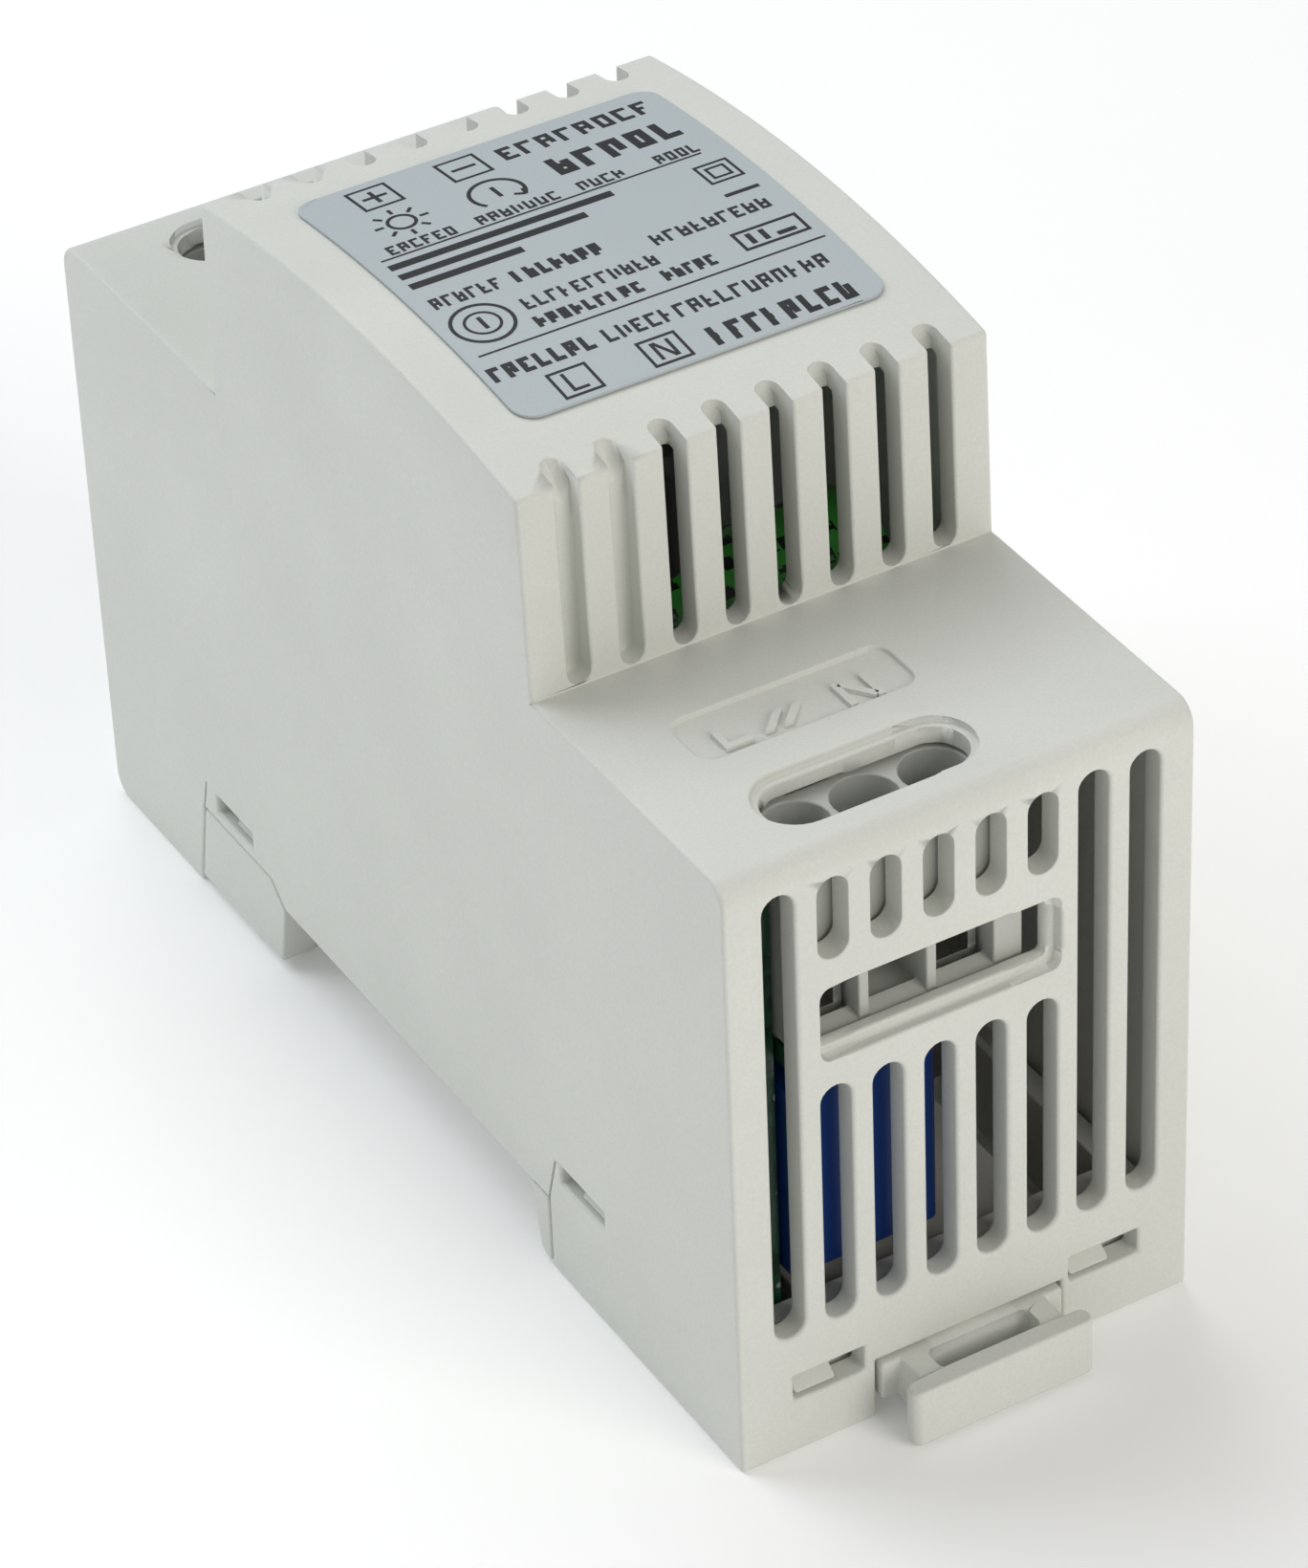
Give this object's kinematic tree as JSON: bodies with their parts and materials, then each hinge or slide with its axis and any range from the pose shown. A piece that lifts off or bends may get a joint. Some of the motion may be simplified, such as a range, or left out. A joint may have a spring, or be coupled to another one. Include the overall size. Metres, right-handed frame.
{
  "type": "din rail power supply",
  "caption": "Stepped light-grey power supply for a 35 mm top-hat rail, with clamp terminals at both ends, vent slots, a printed label and a sprung rail latch.",
  "frame": {"origin": "centre of the footprint of the whole part, pull bar included, on the surface it lies on", "axes": "+X across the rail modules, +Y from the input and latch end to the output end, +Z from the rail side to the labelled front"},
  "size_m": [0.035, 0.0944, 0.0656],
  "materials": {
    "housing_plastic": "fine matt light grey",
    "spring_steel": "drawn wire",
    "label_film": "satin blue-grey film, dark print",
    "board_laminate": "green solder mask",
    "terminal_plastic": "moulded grey",
    "zinc_plated_steel": "bright zinc plating",
    "tinned_copper": "tin plated",
    "film_capacitor_box": "moulded box, potted",
    "ferrite": "sintered, matt",
    "enamelled_copper": "enamelled wire",
    "black_moulding": "moulded epoxy",
    "disc_coating": "dipped epoxy coat",
    "green_sleeve": "heat-shrunk sleeve on an aluminium can",
    "dark_sleeve": "heat-shrunk sleeve on an aluminium can",
    "heat_sink_aluminium": "plain rolled sheet",
    "winding_tape": "polyester tape",
    "trimmer_plastic": "moulded",
    "trimmer_rotor_plastic": "moulded",
    "lamp_lens": "clear tinted epoxy"
  },
  "bodies": {
    "housing": {"cover": "housing_plastic", "base": "housing_plastic", "latch_spring": "spring_steel", "rating_label": "label_film", "main_board": "board_laminate", "input_terminal_board": "board_laminate", "output_terminal_board": "board_laminate", "input_terminal_block": "terminal_plastic", "line_contact_pin": "tinned_copper", "neutral_contact_pin": "tinned_copper", "output_terminal_block": "terminal_plastic", "plus_contact_pin": "tinned_copper", "minus_contact_pin": "tinned_copper", "interference_capacitor": "film_capacitor_box", "choke_core": "ferrite", "choke_winding_lower": "enamelled_copper", "choke_winding_upper": "enamelled_copper", "fuse": "black_moulding", "surge_varistor": "disc_coating", "inrush_thermistor": "black_moulding", "bridge_rectifier": "black_moulding", "bulk_capacitor": "green_sleeve", "primary_heat_sink": "heat_sink_aluminium", "switching_transistor": "black_moulding", "transistor_screw": "zinc_plated_steel", "controller_chip": "black_moulding", "transformer_core_inner": "ferrite", "transformer_core_outer": "ferrite", "transformer_bobbin": "black_moulding", "transformer_winding": "enamelled_copper", "transformer_tape": "winding_tape", "safety_capacitor": "disc_coating", "optocoupler": "black_moulding", "output_heat_sink": "heat_sink_aluminium", "output_rectifier": "black_moulding", "rectifier_screw": "zinc_plated_steel", "output_capacitor_inner": "dark_sleeve", "output_capacitor_outer": "dark_sleeve", "filter_inductor_core": "ferrite", "filter_inductor_winding": "enamelled_copper", "trimmer_body": "trimmer_plastic", "status_lamp": "lamp_lens"},
    "latch": {"rail_latch": "housing_plastic"},
    "line_screw": {"line_clamp_screw": "zinc_plated_steel"},
    "line_cage": {"line_clamp_cage": "zinc_plated_steel"},
    "neutral_screw": {"neutral_clamp_screw": "zinc_plated_steel"},
    "neutral_cage": {"neutral_clamp_cage": "zinc_plated_steel"},
    "plus_screw": {"plus_clamp_screw": "zinc_plated_steel"},
    "plus_cage": {"plus_clamp_cage": "zinc_plated_steel"},
    "minus_screw": {"minus_clamp_screw": "zinc_plated_steel"},
    "minus_cage": {"minus_clamp_cage": "zinc_plated_steel"},
    "trimmer": {"trimmer_rotor": "trimmer_rotor_plastic"}
  },
  "joints": [
    {"name": "latch_slide", "type": "slide", "parent": "housing", "child": "latch", "axis": [0, -1, 0], "range_m": [0, 0.004], "stiffness_N_per_m": 600, "springref_m": -0.003, "deforming": ["latch_spring"]},
    {"name": "line_screw_turn", "type": "hinge", "parent": "housing", "child": "line_screw", "pos_m": [-0.00858, -0.037, 0.0415], "axis": [0, 0, -1], "range_deg": [0, 1800]},
    {"name": "line_cage_lift", "type": "slide", "parent": "housing", "child": "line_cage", "axis": [0, 0, 1], "range_m": [0, 0.0025]},
    {"name": "neutral_screw_turn", "type": "hinge", "parent": "housing", "child": "neutral_screw", "pos_m": [0.00158, -0.037, 0.0415], "axis": [0, 0, -1], "range_deg": [0, 1800]},
    {"name": "neutral_cage_lift", "type": "slide", "parent": "housing", "child": "neutral_cage", "axis": [0, 0, 1], "range_m": [0, 0.0025]},
    {"name": "plus_screw_turn", "type": "hinge", "parent": "housing", "child": "plus_screw", "pos_m": [-0.00858, 0.0414, 0.0415], "axis": [0, 0, -1], "range_deg": [0, 1800]},
    {"name": "plus_cage_lift", "type": "slide", "parent": "housing", "child": "plus_cage", "axis": [0, 0, 1], "range_m": [0, 0.0025]},
    {"name": "minus_screw_turn", "type": "hinge", "parent": "housing", "child": "minus_screw", "pos_m": [0.00158, 0.0414, 0.0415], "axis": [0, 0, -1], "range_deg": [0, 1800]},
    {"name": "minus_cage_lift", "type": "slide", "parent": "housing", "child": "minus_cage", "axis": [0, 0, 1], "range_m": [0, 0.0025]},
    {"name": "trimmer_turn", "type": "hinge", "parent": "housing", "child": "trimmer", "pos_m": [0.00158, 0.0277, 0.044], "axis": [0, 0, -1], "range_deg": [-135, 135]}
  ],
  "couplings": [
    {"joint": "line_screw_turn", "follows": "line_cage_lift", "rad_per_m": 12566},
    {"joint": "neutral_screw_turn", "follows": "neutral_cage_lift", "rad_per_m": 12566},
    {"joint": "plus_screw_turn", "follows": "plus_cage_lift", "rad_per_m": 12566},
    {"joint": "minus_screw_turn", "follows": "minus_cage_lift", "rad_per_m": 12566}
  ]
}
